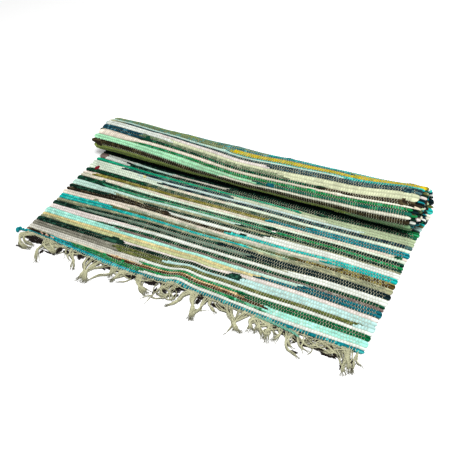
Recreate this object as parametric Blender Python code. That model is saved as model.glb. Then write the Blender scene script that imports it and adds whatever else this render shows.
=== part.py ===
"""Hand-woven rag rug, 600 x 900 mm, half unrolled: the near part lies flat and the far part is rolled up over it.

Run with: blender --background --python part.py

Metres, +Z up. +X runs along the weft, +Y along the warp from the fringed end towards the roll.
The origin is the middle of the bounding box, on the floor.
"""

import math
import random

import bmesh
import bpy
from mathutils import Vector

# Cloth
RUG_WIDTH = 0.600
RUG_LENGTH = 0.900  # measured along the cloth, without the fringe
CLOTH_THICK = 0.0045

# Roll: semi-axes of the middle line of its outermost turn
FRONT_TO_AXIS = 0.2560  # from the woven end to the point below the roll's middle
ROLL_HALF_DEPTH = 0.0375
ROLL_HALF_HEIGHT = 0.0305
TURN_PITCH = 0.0050  # from one turn to the next, cloth and a thin gap
ROLL_SAG = 0.04  # how much lower the roll is in its middle than at its ends
TELESCOPE = 0.0035  # how far the turns slip sideways past each other
TURN_STEPS = 18

# Unevenness of the flat part: a soft ripple that starts at the woven end
RIPPLE_X = 0.014
RIPPLE_HALF_WIDTH = 0.019
RIPPLE_HEIGHT = 0.0080
RIPPLE_REACH = 0.090
BOWS = (  # (middle x, half width, how far the woven end bows out)
    (-0.085, 0.080, 0.0095),
    (0.215, 0.090, 0.0070),
)
DRAW_IN = 0.013  # how far the left selvedge is pulled in at the woven end
DRAW_REACH = 0.220
FLAT_STEP = 0.024
ACROSS_STEP = 0.050

# Fringe: the last weft strip with the knotted warp ends
EDGE_GAP = 0.0005  # between the strip and the cloth
STRIP_DEPTH = 0.0050
TAIL_LENGTH = 0.017  # the strip's loose end at the left selvedge
TAIL_RISE = 0.0015
STRAND_SIZE = 0.0022
STRANDS_PER_TASSEL = 4
GATHERED_STEP = 0.0034  # between strands where the tassel is gathered
LOOSE_STEP = 0.0046  # between strands at the tips
TASSELS = (  # (root x, root width, gathered x, gathered y, tip x, tip y)
    (-0.279, 0.018, -0.279, -0.022, -0.262, -0.034),
    (-0.241, 0.022, -0.237, -0.026, -0.226, -0.047),
    (-0.217, 0.013, -0.211, -0.015, -0.202, -0.022),
    (-0.194, 0.022, -0.182, -0.021, -0.161, -0.037),
    (-0.167, 0.014, -0.162, -0.014, -0.154, -0.021),
    (-0.141, 0.022, -0.136, -0.032, -0.126, -0.056),
    (-0.100, 0.022, -0.106, -0.032, -0.114, -0.053),
    (-0.062, 0.022, -0.070, -0.024, -0.081, -0.033),
    (-0.036, 0.020, -0.029, -0.028, -0.014, -0.049),
    (-0.007, 0.022, 0.000, -0.020, 0.014, -0.034),
    (0.028, 0.020, 0.030, -0.022, 0.023, -0.042),
    (0.054, 0.020, 0.058, -0.023, 0.067, -0.047),
    (0.080, 0.018, 0.084, -0.016, 0.090, -0.024),
    (0.110, 0.022, 0.117, -0.022, 0.127, -0.044),
    (0.145, 0.022, 0.157, -0.021, 0.178, -0.036),
    (0.174, 0.022, 0.184, -0.020, 0.199, -0.031),
    (0.202, 0.022, 0.212, -0.026, 0.229, -0.042),
    (0.229, 0.020, 0.236, -0.019, 0.246, -0.028),
    (0.253, 0.018, 0.259, -0.018, 0.268, -0.026),
    (0.273, 0.014, 0.279, -0.027, 0.287, -0.044),
    (0.290, 0.012, 0.296, -0.023, 0.306, -0.037),
)

COLOURS = {"rug": (0.35, 0.55, 0.42), "fringe": (0.66, 0.64, 0.47)}


def bell(x, middle, half_width):
    return math.exp(-(((x - middle) / half_width) ** 2))


def woven_end(x):
    """How far the woven end lies from its straight line: negative is towards the fringe."""
    return -sum(out * bell(x, middle, half) for middle, half, out in BOWS)


def ripple(x, y):
    """Height of the soft ripple above the floor."""
    if y >= RIPPLE_REACH:
        return 0.0
    fade = math.cos(0.5 * math.pi * max(y, 0.0) / RIPPLE_REACH) ** 2
    return RIPPLE_HEIGHT * fade * bell(x, RIPPLE_X, RIPPLE_HALF_WIDTH)


def drawn_in(x, y):
    """x with the pull on the left selvedge, which is strongest at the woven end."""
    share = max(0.0, 1.0 - max(y, 0.0) / DRAW_REACH)
    return x + DRAW_IN * share * (0.5 - x / RUG_WIDTH) ** 2


def flat_point(x, y):
    """Middle of the cloth on the flat part. The woven end's bows die out towards the roll."""
    share = 1.0 - y / FRONT_TO_AXIS
    return Vector((drawn_in(x, y), y + woven_end(x) * share**2, CLOTH_THICK / 2 + ripple(x, y)))


def roll_point(x, angle):
    """Middle of the cloth in the roll, angle radians after it leaves the floor."""
    inward = TURN_PITCH * angle / math.tau
    lower = 1.0 - ROLL_SAG * (1.0 - (2 * x / RUG_WIDTH) ** 2)
    top = ROLL_HALF_HEIGHT * lower
    height = top - inward
    depth = ROLL_HALF_DEPTH - inward
    slip = TELESCOPE * math.sin(0.83 * angle) * min(1.0, angle / math.pi)
    return Vector(
        (
            x + slip,
            FRONT_TO_AXIS + depth * math.sin(angle),
            CLOTH_THICK / 2 + top - height * math.cos(angle),
        )
    )


def roll_angles():
    """Angles of the roll's stations, up to where the cloth's whole length is used."""
    step = math.tau / TURN_STEPS
    angles = []
    used = FRONT_TO_AXIS
    angle = 0.0
    while used < RUG_LENGTH:
        used += (roll_point(0.0, angle + step) - roll_point(0.0, angle)).length
        angle += step
        angles.append(angle)
    return angles


def across_stations():
    """Places across the width: an even row, and closer ones over the ripple."""
    count = round(RUG_WIDTH / ACROSS_STEP)
    places = {round(-RUG_WIDTH / 2 + i * RUG_WIDTH / count, 6) for i in range(count + 1)}
    for share in (-1.6, -0.8, 0.0, 0.8, 1.6):
        places.add(round(RIPPLE_X + share * RIPPLE_HALF_WIDTH, 6))
    ordered = sorted(places)
    kept = ordered[:1]
    for place in ordered[1:]:
        if place - kept[-1] > 0.008:
            kept.append(place)
    return kept


def material_for(name):
    made = bpy.data.materials.new(name)
    made.use_nodes = True
    surface = made.node_tree.nodes["Principled BSDF"]
    surface.inputs["Base Color"].default_value = (*COLOURS[name], 1.0)
    surface.inputs["Roughness"].default_value = 0.9
    surface.inputs["Metallic"].default_value = 0.0
    return made


def object_from(bm, name):
    mesh = bpy.data.meshes.new(name)
    bm.to_mesh(mesh)
    bm.free()
    mesh.materials.append(material_for(name))
    made = bpy.data.objects.new(name, mesh)
    bpy.context.scene.collection.objects.link(made)
    return made


def make_rug():
    """One sheet along its real path, from the woven end through the flat part and the roll's turns."""
    places = across_stations()
    flat_steps = round(FRONT_TO_AXIS / FLAT_STEP)
    rows = []
    for i in range(flat_steps + 1):
        y = FRONT_TO_AXIS * i / flat_steps
        rows.append([flat_point(x, y) for x in places])
    for angle in roll_angles():
        rows.append([roll_point(x, angle) for x in places])
    bm = bmesh.new()
    grid = [[bm.verts.new(point) for point in row] for row in rows]
    for near, far in zip(grid, grid[1:]):
        for i in range(len(places) - 1):
            bm.faces.new((near[i], near[i + 1], far[i + 1], far[i]))
    rug = object_from(bm, "rug")
    rug.data.shade_smooth()
    thicken = rug.modifiers.new("cloth", "SOLIDIFY")
    thicken.thickness = CLOTH_THICK
    thicken.offset = 0.0
    thicken.use_even_offset = True
    return rug


def strand_path(root, index, tassel, rng):
    """Middle points of one strand: out of the strip, gathered with its neighbours, then loose on the floor."""
    gathered = Vector((tassel[2], tassel[3], STRAND_SIZE / 2))
    tip = Vector((tassel[4], tassel[5], STRAND_SIZE / 2))
    inner = gathered - Vector((tassel[0], woven_end(tassel[0]) - EDGE_GAP - STRIP_DEPTH, STRAND_SIZE / 2))
    inner_side = Vector((-inner.y, inner.x, 0.0)).normalized()
    outer = tip - gathered
    outer_side = Vector((-outer.y, outer.x, 0.0)).normalized()
    side = (inner_side + outer_side).normalized()
    place = index - (STRANDS_PER_TASSEL - 1) / 2
    knot = gathered + side * (place * GATHERED_STEP)
    tip_place = place * LOOSE_STEP + rng.uniform(-0.0006, 0.0006)
    end = gathered + outer * rng.uniform(0.88, 1.0) + outer_side * tip_place
    loose = knot.lerp(end, 0.5) + side * rng.uniform(-0.0004, 0.0004)
    first = root.lerp(knot, 0.42)
    first.z = max(STRAND_SIZE / 2, 0.35 * root.z)
    return [first, knot, loose, end]


def make_fringe():
    """The last weft strip with a loose end at the left, and the knotted warp ends pulled out of its front."""
    rng = random.Random(5)
    half = STRAND_SIZE / 2
    roots = []  # (x, tassel number, index in the tassel)
    for number, (middle, width, *_) in enumerate(TASSELS):
        for i in range(STRANDS_PER_TASSEL):
            x = middle + width * (i / (STRANDS_PER_TASSEL - 1) - 0.5) * 0.86
            roots.append((x, number, i))
    roots.sort()
    stations = [-RUG_WIDTH / 2 - TAIL_LENGTH, -RUG_WIDTH / 2 - TAIL_LENGTH / 2, -RUG_WIDTH / 2]
    for x, _, _ in roots:
        stations += [x - half, x + half]
    stations.append(RUG_WIDTH / 2)

    bm = bmesh.new()
    rings = []
    for x in stations:
        back = woven_end(x) - EDGE_GAP
        low = ripple(x, 0.0)
        high = low + CLOTH_THICK
        front = back - STRIP_DEPTH
        place = drawn_in(x, 0.0)
        if x < -RUG_WIDTH / 2:  # the loose end narrows and lifts a little
            out = (-RUG_WIDTH / 2 - x) / TAIL_LENGTH
            low += TAIL_RISE * out
            high -= (CLOTH_THICK - 0.0034) * out - TAIL_RISE * out
            front += 0.0012 * out
        corners = ((back, low), (front, low), (front, high), (back, high))
        rings.append([bm.verts.new((place, y, z)) for y, z in corners])
    front_faces = []
    for left, right in zip(rings, rings[1:]):
        for i in range(4):
            j = (i + 1) % 4
            face = bm.faces.new((left[i], left[j], right[j], right[i]))
            if i == 1:
                front_faces.append(face)
    bm.faces.new(list(reversed(rings[0])))
    bm.faces.new(rings[-1])

    first_root = 3  # the stations before the first strand
    for n, (_, number, index) in enumerate(roots):
        face = front_faces[first_root + 2 * n]
        root = face.calc_center_median()
        path = strand_path(root, index, TASSELS[number], rng)
        before = Vector((root.x, root.y, path[0].z))
        for k, point in enumerate(path):
            after = path[k + 1] if k + 1 < len(path) else point
            heading = after - before
            heading.z = 0.0
            side = Vector((-heading.y, heading.x, 0.0)).normalized()
            face = bmesh.ops.extrude_discrete_faces(bm, faces=[face])["faces"][0]
            middle = face.calc_center_median()
            for vert in face.verts:
                across = -half if vert.co.x < middle.x else half
                above = -half if vert.co.z < middle.z else half
                vert.co = point + side * across + Vector((0.0, 0.0, above))
            before = point
    bmesh.ops.recalc_face_normals(bm, faces=bm.faces)
    return object_from(bm, "fringe")


def centre_on_floor(parts):
    """Moves the whole part so that the origin is the middle of its bounding box, on the floor."""
    bpy.context.view_layer.update()
    graph = bpy.context.evaluated_depsgraph_get()
    corners = []
    for part in parts:
        mesh = part.evaluated_get(graph).to_mesh()
        corners += [vert.co.copy() for vert in mesh.vertices]
        part.evaluated_get(graph).to_mesh_clear()
    low = Vector(min(c[i] for c in corners) for i in range(3))
    high = Vector(max(c[i] for c in corners) for i in range(3))
    shift = Vector((-(low.x + high.x) / 2, -(low.y + high.y) / 2, -low.z))
    for part in parts:
        part.location = shift
    print("shift", [round(v, 6) for v in shift], "size", [round(v, 4) for v in high - low])


def main():
    for old in list(bpy.data.objects):
        bpy.data.objects.remove(old)
    centre_on_floor([make_rug(), make_fringe()])


main()
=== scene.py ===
import math
import random

import bpy
import numpy as np
from mathutils import Matrix, Vector


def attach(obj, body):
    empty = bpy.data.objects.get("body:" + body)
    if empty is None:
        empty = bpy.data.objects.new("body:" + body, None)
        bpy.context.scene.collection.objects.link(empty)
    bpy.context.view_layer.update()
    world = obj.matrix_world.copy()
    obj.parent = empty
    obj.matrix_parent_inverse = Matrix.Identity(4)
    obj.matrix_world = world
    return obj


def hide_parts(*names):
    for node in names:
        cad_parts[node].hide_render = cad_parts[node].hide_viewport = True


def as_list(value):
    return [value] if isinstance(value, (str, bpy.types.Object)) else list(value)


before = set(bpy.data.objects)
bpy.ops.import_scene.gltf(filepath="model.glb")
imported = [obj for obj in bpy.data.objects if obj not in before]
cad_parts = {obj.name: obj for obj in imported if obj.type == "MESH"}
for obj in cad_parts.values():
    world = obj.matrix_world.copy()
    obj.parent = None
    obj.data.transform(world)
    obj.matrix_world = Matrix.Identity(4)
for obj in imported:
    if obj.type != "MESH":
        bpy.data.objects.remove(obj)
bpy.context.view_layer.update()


def readGroups(text):
    # lists of names and numbers, split by commas
    return [[word if word[0] == "#" or word[0].isalpha() else float(word) for word in group.split()]
            for group in text.split(",")]


# The cloth's form, in metres, as the solids have it
form = {
    "width": 0.600,
    "length": 0.900,
    "thick": 0.0045,
    "flat": 0.256,  # woven end to below the roll's middle
    "rollDepth": 0.0375,
    "rollHeight": 0.0305,
    "turnPitch": 0.0050,
    "rollSag": 0.04,
    "slip": 0.0022,
    "rippleX": 0.014, "rippleHalf": 0.019, "rippleHeight": 0.0080, "rippleReach": 0.090,
    "bows": [(-0.085, 0.080, 0.0095), (0.215, 0.090, 0.0070)],  # middle x, half width, how far out
    "drawIn": 0.0075, "drawReach": 0.220,
    "lastRow": 0.0055,  # the last weft strip lies this far outside the woven end
    # Angles round the roll, and how far its right edge moves there, then its outer turn's left edge
    "rightAt": [0, 0.8, 1.9, 2.5, 3.0, 3.9, 5.8, 7.6, 9.4, 10.4, 12.0, 13.8, 15.6, 16.8, 18.2, 20.0, 26.0],
    "rollRight": [0.0012, 0.0065, 0.0010, -0.0060, -0.0085, -0.012, -0.012, -0.006, -0.0025, -0.007,
                  -0.008, -0.0035, -0.0005, -0.003, -0.0045, -0.001, 0.001],
    "leftAt": [0, 2.6, 3.7, 4.15, 4.45, 4.9],
    "rollLeft": [0.016, 0.015, 0.008, -0.001, -0.0080, -0.004],
    "outerEnd": 7.4,  # the outer turn ends at this angle, over the next length
    "outerEase": 1.4,
    "flareFrom": 0.17, "flare": 0.0055,  # the roll's right end stands a little higher
    "innerFlare": 0.35,
    "swell": 0.0007,  # soft unevenness of the roll
    "shift": Vector((-0.004082, -0.117808, 0.0)),  # from the woven end's middle to the frame's origin
}

# The weave, in metres
weave = {
    "dashPitch": 0.00412,  # two warp ends
    "rowPitch": 0.0057,
    "rows": 173,
    "flatRows": 43,  # rows up to where the cloth goes out of sight under the roll
    "rollRows": 83,  # rows up to where the outer turn goes out of sight again
    "groove": 0.0012,
    "dashHeight": 0.0011,
    "lump": 0.0010, "lumpHalf": 0.006,
    "bulge": 0.0009, "bulgeHalf": 0.007,  # how far a joined rag pushes the rows beside it
    "slant": (0.016, 0.020),  # a rag's cut end leans at least this far, and up to this much more
    "slantFade": 0.06,
    "rowEnd": 0.011,  # how quickly a rag's end thins out
    "ease": 0.018,  # over what length the rows beside it close up
    "bare": 0.04,  # fullness where a row has no rag
    "wander": 0.0005,
    "faceRows": 46, "reverseRows": 82,  # rows up to where each side is formed finely
    "warpTurn": 44,  # from this row on, the warp shows on the reverse
    "fineStep": 0.001, "coarseStep": 0.10, "underStep": 0.02,  # between columns of points
    "dashEnd": 0.004,  # the last dash to the selvedge
    "proud": 0.0002, "floor": 0.0003,  # the rags stand out from the cloth, and press flat on the floor
    "right": 300, "backEnd": 276, "innerEnd": 291,  # the right edge in mm, and where its own rags start
}

# The rags' loops at the selvedges, in metres
edge = {
    "round": 0.0030, "inset": 0.005, "start": 0.0018,
    "double": 0.0042, "single": 0.0022,  # how far out a loop of two rows reaches, and of one
    "flatShare": 0.45,
    "flatRight": 0.0026, "flatLeft": 0.0040,  # more, on the flat part
    "leftFrom": 20,  # the row from where the left side has this
    "rollRight": 0.0024, "rollLeft": 0.0008,  # and on the inner turns
    "near": 0.004,
    "rim": 0.012, "rimStep": 0.001,
}

# How dark the painted shade in the grooves between rows and dashes is, and how much less so on pale rags
shading = {
    "groove": 0.88, "paleGroove": 0.52,
    "dash": 0.70, "paleDash": 0.22,
    "paleGain": 2.4, "paleFrom": 0.2,  # how pale a colour counts as
    "knot": 0.95,
    "fold": 0.30, "wave": 0.07, "row": 0.10,  # how much the folds, places and rows differ
}

# Rag colours: one, or two with the second one's share of the dashes
rags = {name: colours for name, *colours in readGroups("""
brightTeal #0a8089 #1f9fa4 0.35, teal #0a7076 #3aa4a2 0.2, deepTeal #096a72, turquoise #12a49e #3fc0b2 0.3,
tealGreen #b5cba5 #8fba9f 0.3, petrol #12646e #0b4f5e 0.3, petrolDark #123f4c #376a77 0.3,
petrolBlue #08707c #1d8890 0.3, petrolGreen #16604f #1f8054 0.3, navy #122c37 #41615f 0.35,
navyBlack #0a2024, slate #243d43 #456266 0.35, blackGreen #0c271e #234b3b 0.35,
darkGreen #0c3827 #1d5e40 0.3, deepGreen #05542f #0f6e44 0.25, green #14783f #2f9664 0.3,
softGreen #2f8560 #57a27e 0.2, emerald #109a74 #2bb088 0.2, mintGreen #5cae88 #23774c 0.4,
mint #97d9c7 #b0e4d5 0.25, softMint #a4e0b4, paleAqua #b2d1c4, iceBlue #aed2cd #a8cdc7 0.2, frost #b8cfcb,
white #d2d8cf, cream #e0decb, pinkWhite #d3cac4, creamGreen #cad8c4, creamKhaki #c4c9a6, offGrey #c0beb2,
greyBeige #929d88 #b0b5a0 0.3, taupe #838173 #989688 0.2, mauve #77645f #8e8c84 0.2, sage #a9ba93,
sageGrey #6d8474, greyGreen #34503e #626c54 0.3, olive #555f2c #707340 0.2,
mustardOlive #78722c #968c4a 0.25, oliveGreen #8a9a52, darkSage #6f9068, oliveTeal #74865a #5c8f7c 0.35,
mustard #c2ab14 #aaa52c 0.25, yellow #b6ba86, khaki #888c6d #abaa85 0.25, khakiOrange #c8b980 #d8c88e 0.3,
khakiPink #c2cab0, peach #c8c1a9 #d8c6ae 0.25, palePeach #d6cbbb, peachOrange #b98f62 #d8ba8c 0.5,
beigePink #c9c5b0 #d6c9bb 0.3, brownPeach #2a1d17 #c9a188 0.22, brown #402b18 #6c4a2c 0.25,
brownMustard #4c3d19 #857a3e 0.35, brownKhaki #4b5f3a #6b6a3c 0.3, brownGreen #667a5a #8a9578 0.3,
brownBlack #261f16 #493f2b 0.3, darkBrown #2e2718 #4a4026 0.3, red #6c1720
""")}

# Rows from the fringed end to the crease. A row's rags are split by commas: the rag, where it ends
# across the rug in mm, or else at the right edge, and its fullness if thinner or fuller
flatRows = """
teal -242 0.7, brightTeal -228 0.35, brightTeal -62 1.2, teal
brownPeach -243, brightTeal -197, green -48, white
bare -196, green -126, green -78 0.4, green 102, mintGreen 150, mint
bare -133, brown 152, mint
bare -250, peach -110 0.6, peachOrange 106 0.4, deepGreen
offGrey -66, green 108 1.1, deepGreen
offGrey -66, white
taupe -118, olive 279, iceBlue
taupe -125, olive -26, iceBlue 90 0.6, iceBlue
blackGreen 98, iceBlue
blackGreen -120, pinkWhite 60 0.45, pinkWhite
khaki -262, yellow 64, bare
khakiOrange 121, petrol
mint 80, paleAqua 184, petrol
mint -152, mauve 300 0.65
bare -186, darkGreen 300 1.1
pinkWhite -165, white
pinkWhite -112, bare 147, white
blackGreen 146 0.8, bare
blackGreen -236, sageGrey 88, navyBlack
bare -236, blackGreen 32, navyBlack 300 1.1
khaki -180, khaki 10 0.6, khaki
turquoise 72, tealGreen 138 0.7, khaki 300 0.7
turquoise -192, brownKhaki 60 0.7, brownKhaki 150, brownMustard
palePeach -162, greyBeige 222 0.8, brownMustard 300 0.9
palePeach -150, beigePink 196 0.9, turquoise
brownBlack 34, turquoise
blackGreen -214 1.2, brownBlack -92, white
bare -150, blackGreen 96, white
paleAqua -206, khaki 90 0.8, khaki 300 0.4
paleAqua -110, paleAqua 40 0.7, blackGreen
darkGreen -240, softGreen 110, green
darkGreen 90, blackGreen 300 1.1
beigePink -200, creamGreen 300 0.9
bare -172, beigePink
beigePink -274, mustardOlive 76, petrolBlue
darkGreen -170 1.4, greyGreen 150, petrolBlue
creamGreen -132, beigePink 0, creamGreen
creamGreen -140, navy 10, navy 300 1.3
creamGreen -186, frost 225 0.75, sage 300 0.7
creamGreen -232, navy -8, khakiPink 160, sage
emerald 0, emerald 115 0.8, sage
white -236, blackGreen 150, darkGreen
"""
# On under the roll and up its back, which the photo doesn't show
# The first rows here lie in the crease under the roll's front, and their dark rags (rows 44 to 46 and the
# first row's right part) paint the crease's shade
backRows = """
white -215, paleAqua -130 0.9, offGrey -20 0.6, blackGreen
blackGreen
navyBlack
brownBlack -90, blackGreen
olive
darkGreen -60, teal
white
sage -240 0.1, sage -170 0.4, sage -100 0.7, sage
slate 120, brownKhaki
beigePink 90, beigePink 150 0.6, beigePink 300 0.2
petrol
khaki 10, mint
brownBlack -250 0.2, brownBlack -190 0.5, brownBlack
turquoise 180, emerald
cream 160, cream 210 0.6, cream 300 0.2
green -140, deepGreen
greyBeige
mustardOlive 210, mustardOlive 240 0.6, mustardOlive 300 0.2
blackGreen
paleAqua -30, white
petrolBlue 70, teal
oliveGreen -120, oliveTeal 40, turquoise
"""
# The roll's outer turn from its far top to the crease in front
rollRows = """
oliveTeal -62 0.8, teal 60 0.7, teal 180 0.5, mustard
oliveTeal -25, mustard 300 1.6
paleAqua -40, turquoise 170 0.45, turquoise
paleAqua 170 0.7, turquoise 300 0.3
bare -272, slate -90 0.4, slate 0 0.7, slate 220, slate 300 1.4
white -180, pinkWhite 46, slate 220, slate 300 1.3
white -150 0.7, creamKhaki
petrolDark -208, brownGreen 82, creamKhaki
petrolDark -206, darkGreen 150, brownBlack 300 1.3
bare 176, brownBlack 300 1.3
palePeach -60, beigePink 180 0.6, cream 300 0.5
bare -216, green
softMint 40, petrolGreen
softMint -34, cream 300 0.8
darkBrown
oliveGreen 196, darkSage
oliveGreen 180, darkSage
blackGreen
"""
innerRags = """
slate cream blackGreen turquoise beigePink brown frost white beigePink navy peach brownBlack paleAqua
olive petrol khaki darkGreen iceBlue
""".split()
# The rags at the right end of the back rows, and of the inner turns
backEnds = """
green green blackGreen iceBlue iceBlue brownKhaki turquoise navyBlack navyBlack cream cream turquoise
turquoise olive navyBlack navyBlack blackGreen white petrolDark turquoise white mustardOlive
""".split()
innerEnds = """
blackGreen pinkWhite navyBlack teal brownBlack peach navyBlack green blackGreen white navy teal brownBlack
brownPeach navyBlack sage brownKhaki
""".split()
# Rags that bulge out of the weave: middle in mm across the rug and in rows, half sizes in mm and
# rows, rag, and how far it stands out in mm
knots = readGroups("""
-283 37.5 5.5 0.85 red 0.4, -181 39.4 4 0.4 khakiOrange 0.3, -135 10.1 19 1.15 blackGreen 1.1,
85 9.6 12 1.1 blackGreen 1.2, 55 27.0 7 0.4 blackGreen 0.8, -91 27.0 7 0.8 brownBlack 0.9,
62 22.6 8 0.55 turquoise 0.7, -226 24.2 6 0.4 brownGreen 0.6, -252 35.2 6 0.7 mustardOlive 0.6,
-246 32.8 6 0.45 blackGreen 0.7, 289 34.4 6 0.6 darkGreen 0.9, 97 31.6 4 0.4 pinkWhite 0.5,
-293 42.95 9 1.0 mauve 0.8, 198 0.6 5 0.4 deepTeal 0.5, 231 0.6 4 0.35 deepTeal 0.4,
272 0.7 9 0.4 deepTeal 0.5, -130 3.2 4 0.6 green 0.6, -93 3.4 3 0.5 green 0.6, -25 2.3 6 0.5 green 0.5,
-287 1.5 4 0.8 brownBlack 0.6, -287 32.0 7 0.7 blackGreen 0.7, -196 73.2 6 0.8 darkGreen 0.9,
65 77.3 8 0.7 petrol 0.9, 135 75.9 8 0.4 green 0.7, 283 70.4 8 1.1 navy 1.6, 283 74.0 6 1.4 brownBlack 1.8,
-288 79.6 8 0.8 brownBlack 0.9
""")


def readRows(text):
    rows = []
    for line in text.strip().splitlines():
        row = []
        for name, *values in readGroups(line):
            end, full = values + [weave["right"], 1.0][len(values):]
            row.append((None if name == "bare" else name, end, full))
        rows.append(row)
    return rows


def linearColour(text):
    parts = [int(text[i:i + 2], 16) / 255 for i in (1, 3, 5)]
    return [v / 12.92 if v <= 0.04045 else ((v + 0.055) / 1.055) ** 2.4 for v in parts]


def randomOf(*keys):
    # one steady random number from 0 to 1 for any whole numbers
    mixed = sum(np.asarray(key, np.float64) * step for key, step in zip(keys, (12.9898, 78.233, 37.719)))
    return np.modf(np.abs(np.sin(mixed) * 43758.5453))[0]


def smoothStep(value):
    value = np.clip(value, 0, 1)
    return value * value * (3 - 2 * value)


def hump(x, middle, half):
    return np.exp(-(((x - middle) / half) ** 2))


# ---- the cloth's surface, worked out for whole arrays at once

def wovenEnd(x):
    return -sum(out * hump(x, middle, half) for middle, half, out in form["bows"])


def rippleHeight(x, y):
    near = np.clip(np.maximum(y, 0) / form["rippleReach"], 0, 1)
    across = hump(x, form["rippleX"], form["rippleHalf"])
    return form["rippleHeight"] * np.cos(0.5 * np.pi * near) ** 2 * across


def rollPlace(x, angle):
    inward = form["turnPitch"] * angle / math.tau
    top = form["rollHeight"] * (1 - form["rollSag"] * (1 - (2 * x / form["width"]) ** 2))
    outer = smoothStep(angle) * smoothStep((form["outerEnd"] - angle) / form["outerEase"])
    left = np.interp(angle, form["leftAt"], form["rollLeft"])
    across = x / form["width"]
    right = np.interp(angle, form["rightAt"], form["rollRight"])
    slipped = x + right * (0.5 + across) ** 3 + outer * left * (0.5 - across) ** 3
    slipped += (1 - outer) * form["slip"] * np.sin(0.83 * angle) * np.minimum(1, angle / np.pi)
    rise = form["flare"] * smoothStep((x - form["flareFrom"]) / (0.5 * form["width"] - form["flareFrom"]))
    rise = rise * (form["innerFlare"] + (1 - form["innerFlare"]) * outer) * np.minimum(1, angle / np.pi)
    y = form["flat"] + (form["rollDepth"] - inward + 0.4 * rise) * np.sin(angle)
    z = form["thick"] / 2 + top - (top - inward) * np.cos(angle) + rise * (0.5 - 0.5 * np.cos(angle))
    return np.stack([slipped, y, z], -1)


rollAngles = np.linspace(0, 11 * np.pi, 4000)
rollSteps = np.linalg.norm(np.diff(rollPlace(np.zeros(4000), rollAngles), axis=0), axis=1)
rollLengths = np.concatenate([[0], np.cumsum(rollSteps)])


def clothPlace(x, s):
    # middle of the cloth at x across and s along it
    x, s = np.broadcast_arrays(x, s)
    share = np.clip(1 - s / form["flat"], 0, 1.1)
    pulled = x + form["drawIn"] * np.clip(1 - np.maximum(s, 0) / form["drawReach"], 0, 1) * (
        0.5 - x / form["width"]) ** 2
    flatPoints = np.stack([pulled, s + wovenEnd(x) * share ** 2, form["thick"] / 2 + rippleHeight(x, s)], -1)
    rolled = rollPlace(x, np.interp(s - form["flat"], rollLengths, rollAngles))
    return np.where((s <= form["flat"])[..., None], flatPoints, rolled)


def swell(x, s):
    # soft unevenness of the roll's outer turn
    wave = np.sin(x / 0.041 + 1.3) * np.sin(s / 0.033 + x / 0.12) + 0.6 * np.sin(x / 0.017 + s / 0.021)
    return form["swell"] * wave * np.clip((s - 0.27) / 0.03, 0, 1) * np.clip((0.47 - s) / 0.04, 0, 1)


def clothAxes(x, s, side, step=0.0008):
    # the way along the cloth, and out of the given side of it
    along = clothPlace(x, s + step) - clothPlace(x, s - step)
    normal = np.cross(clothPlace(x + step, s) - clothPlace(x - step, s), along)
    return [way / np.linalg.norm(way, axis=-1, keepdims=True) for way in (along, side * normal)]


# ---- where the rows lie

def allRows():
    rows = readRows(flatRows)
    for row, end in zip(readRows(backRows), backEnds):
        rows.append(row[:-1] + [(row[-1][0], weave["backEnd"], 1.0), (end, weave["right"], 1.0)])
    rows += readRows(rollRows)
    for k in range(len(rows), weave["rows"]):
        rag = innerRags[(k // 2 * 5 + 3) % len(innerRags)]  # most rags last for two rows
        # the dark rag that runs on up to innerEnd paints the shade between the inner turns' end loops
        dark = ("navyBlack", "brownBlack", "blackGreen")[k % 3]
        last = innerEnds[k % len(innerEnds)]
        ends = int(-260 + 520 * randomOf(k, 4)), weave["innerEnd"], weave["right"]
        rows.append([(name, end, 1.0) for name, end in zip((rag, dark, last), ends)])
    return rows


rowTable = allRows()


def joinsOf(row):
    # where one rag follows another
    return [end / 1000 for (rag, end, _), (after, *_) in zip(row, row[1:]) if rag and after and rag != after]


def fullness(row, x):
    # how thick the row's rag is at x, near 0 where the row has none
    last, full = None, np.zeros_like(x)
    for rag, end, weight in row:
        turn = 1 if last is None else 0.5 + 0.5 * np.tanh((x - last) / weave["rowEnd"])
        full = full * (1 - turn) + (weight if rag else weave["bare"]) * turn
        last = end / 1000
    return full


# Where some rows' lower edges lie in mm from the woven end's middle: the row, and its edge at these
# places across the rug
rowsAcross = [-290, -160, -80, -20, 60, 140, 200, 290]
rowPlaces = {int(row): places for row, *places in readGroups("""
1 5 2 -2 1 5 1.5 0.5 3,
7 19 22 24 25 32 32 35 33,
12 45 52 54 56 57 61 61 59,
15 65 67 70 70 74 75 77 77,
18 75 81 84 85 86 89 95 95,
21 85 96 101 101 107 104 107 106,
24 106 112 114 115 117 118 122 122,
26 117 124 125 125 126 128 133 133,
29 134 137 141 145 146 148 151 148,
31 149 146 152 154 154 156 159 156,
33 160 159 162 163 166 168 171 170,
35 167 170 171 173 175 178 179 181,
37 186 186 186 188 190 190 192 193,
39 198 197 198 199 203 204 206 208,
41 209 208 209 210 214 215 216 217,
43 227 221 221 221 224 225 228 231
""")}
# The same for the roll, in mm round its outside from where it touches the rug
rollAcross = [-280, -205, -100, 0, 130, 220, 290]
rollPlaces = {int(row): places for row, *places in readGroups("""
65 82 86 93 92 88 90 83,
67 95 98 106 111 104 103 96,
69 99 102 110 116 109.5 109 99,
70 103 106 114 121 116 115 107,
71 109 112 120 127 121 119 112,
72 115 117 126 131 129 125 119,
73 122 124 130 136.5 135 132.5 126,
75 126.5 131 135 142 140 137 134,
77 138.5 140.5 144.5 153 149 145 141,
79 148 150 157 163 160 156.5 153,
80 159 159 165 171 168 165.5 162,
83 184 184 188 192 188 186 184
""")}
rollInner = 0.931  # the cloth's middle is this much shorter round the roll than its outside
gridStep = 0.002
edgeGrid = np.arange(-0.330, 0.3301, gridStep)


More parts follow.
